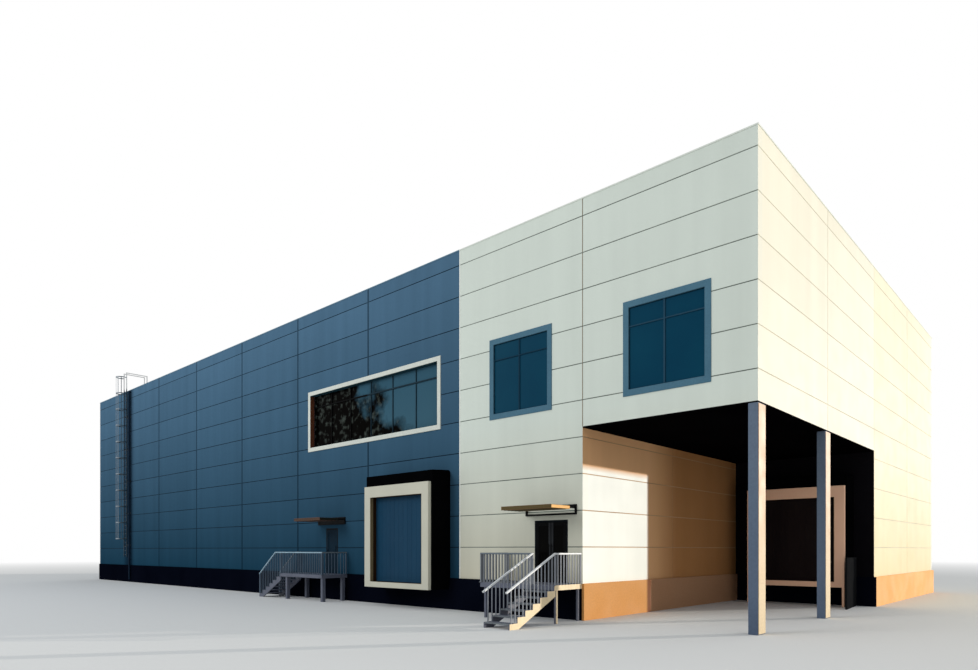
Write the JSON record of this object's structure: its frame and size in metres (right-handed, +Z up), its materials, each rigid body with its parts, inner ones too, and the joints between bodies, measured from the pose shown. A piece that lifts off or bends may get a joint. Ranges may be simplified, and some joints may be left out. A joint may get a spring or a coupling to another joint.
{
  "type": "half scale model of a factory building",
  "caption": "Long flat-roofed factory building with an open corner porch on columns, raised loading docks, doors on landings with stairs, and a caged roof ladder.",
  "frame": {"origin": "middle of the footprint of everything, on the ground", "axes": "+X along the long front towards the porch corner, +Y from the front to the rear, +Z up"},
  "size_m": [26.64, 13.612, 7.5],
  "materials": {
    "cream_panel": "matt coated sandwich panel",
    "blue_panel": "matt coated sandwich panel",
    "dark_panel": "matt coated sandwich panel",
    "dark_plinth": "dark rendered concrete",
    "tan_plinth": "tan rendered concrete",
    "concrete": "plain concrete",
    "soffit": "matt",
    "roof_sheet": "roofing membrane",
    "coping_metal": "matt folded sheet",
    "column_paint": "satin paint on steel",
    "dock_black": "matt curtain and pads",
    "dock_trim": "satin sheet",
    "door_blue": "satin sectional door",
    "door_dark": "satin sectional door",
    "cream_trim": "satin sheet",
    "frame_blue": "satin paint",
    "window_bar": "satin paint",
    "window_glass": "tinted",
    "door_metal": "satin",
    "door_grey": "satin",
    "canopy_sheet": "satin copper brown",
    "black_steel": "satin",
    "stair_paint": "satin paint on steel",
    "rail_paint": "satin paint on steel",
    "galvanised": "zinc coated",
    "pipe_paint": "satin",
    "guard_paint": "satin"
  },
  "bodies": {
    "building": {"plinth_dark_long": "dark_plinth", "plinth_dark_cross": "dark_plinth", "plinth_tan_cross": "tan_plinth", "plinth_tan_rear": "tan_plinth", "wall_entrance_low": "cream_panel", "wall_entrance_high": "cream_panel", "wall_porch_front": "cream_panel", "wall_blue_low": "blue_panel", "wall_blue_high": "blue_panel", "wall_blue_long": "blue_panel", "wall_end": "blue_panel", "wall_rear_blue": "blue_panel", "wall_rear_cream": "cream_panel", "wall_side_rear": "cream_panel", "wall_side_porch": "cream_panel", "recess_wall": "cream_panel", "recess_back_wall": "dark_panel", "ground_floor": "concrete", "upper_floor": "concrete", "porch_soffit": "soffit", "roof": "roof_sheet", "coping": "coping_metal", "porch_columns": "column_paint", "dock_boxes": "dock_black", "dock_frames": "dock_trim", "dock_door_front": "door_blue", "dock_door_porch": "door_dark", "ribbon_frame": "cream_trim", "window_frames": "frame_blue", "window_bars": "window_bar", "window_glass": "window_glass", "door_frames": "door_metal", "canopies": "canopy_sheet", "canopy_frames": "black_steel", "landings": "stair_paint", "stair_treads": "stair_paint", "stair_supports": "stair_paint", "railings": "rail_paint", "roof_ladder": "galvanised", "ladder_cage": "galvanised", "downpipe": "pipe_paint", "guard_panel": "guard_paint"},
    "entrance_left": {"entrance_leaf_left": "door_metal"},
    "entrance_right": {"entrance_leaf_right": "door_metal"},
    "service_door": {"service_leaf": "door_grey"}
  },
  "joints": [
    {"name": "entrance_left_hinge", "type": "hinge", "parent": "building", "child": "entrance_left", "pos_m": [9.3235, -5.0205, 1], "axis": [0, 0, -1], "range_deg": [0, 90]},
    {"name": "entrance_right_hinge", "type": "hinge", "parent": "building", "child": "entrance_right", "pos_m": [9.9865, -5.0205, 1], "axis": [0, 0, 1], "range_deg": [0, 90]},
    {"name": "service_door_hinge", "type": "hinge", "parent": "building", "child": "service_door", "pos_m": [2.7885, -5.0205, 1], "axis": [0, 0, -1], "range_deg": [0, 90]}
  ]
}
